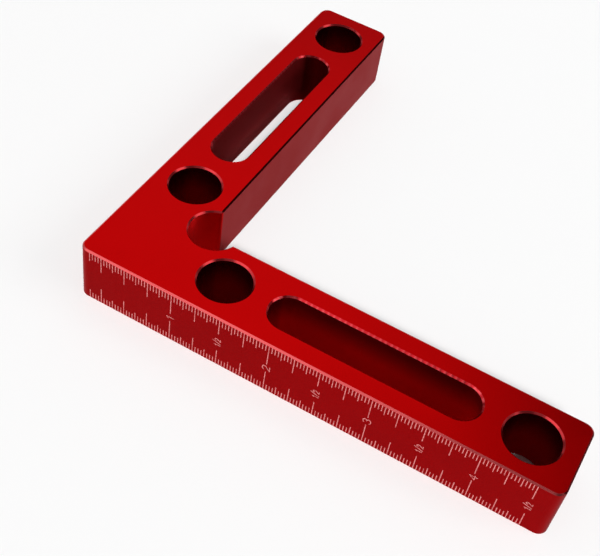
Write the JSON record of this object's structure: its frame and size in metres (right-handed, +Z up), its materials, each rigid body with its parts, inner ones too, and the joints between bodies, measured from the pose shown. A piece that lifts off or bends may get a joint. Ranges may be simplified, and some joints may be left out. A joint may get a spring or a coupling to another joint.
{
  "type": "corner clamping square",
  "caption": "L-shaped corner clamping square: a flat right-angled bar with round holes and slots for clamps, a relieved inner corner and graduated outer faces.",
  "frame": {"origin": "on the base, under the middle of the outline's bounding box, so the outer corner is at x = y = -60 mm", "axes": "+Z up through the thickness, +X along the arm with the inch scale on its outer face, +Y along the other arm"},
  "size_m": [0.12, 0.12, 0.016],
  "materials": {
    "anodised_red": "satin red anodised",
    "scale_enamel": "matt pale red enamel in the engraved lines"
  },
  "bodies": {
    "root": {"square_body": "anodised_red", "inch_lines": "scale_enamel", "metric_lines": "scale_enamel"}
  },
  "joints": []
}
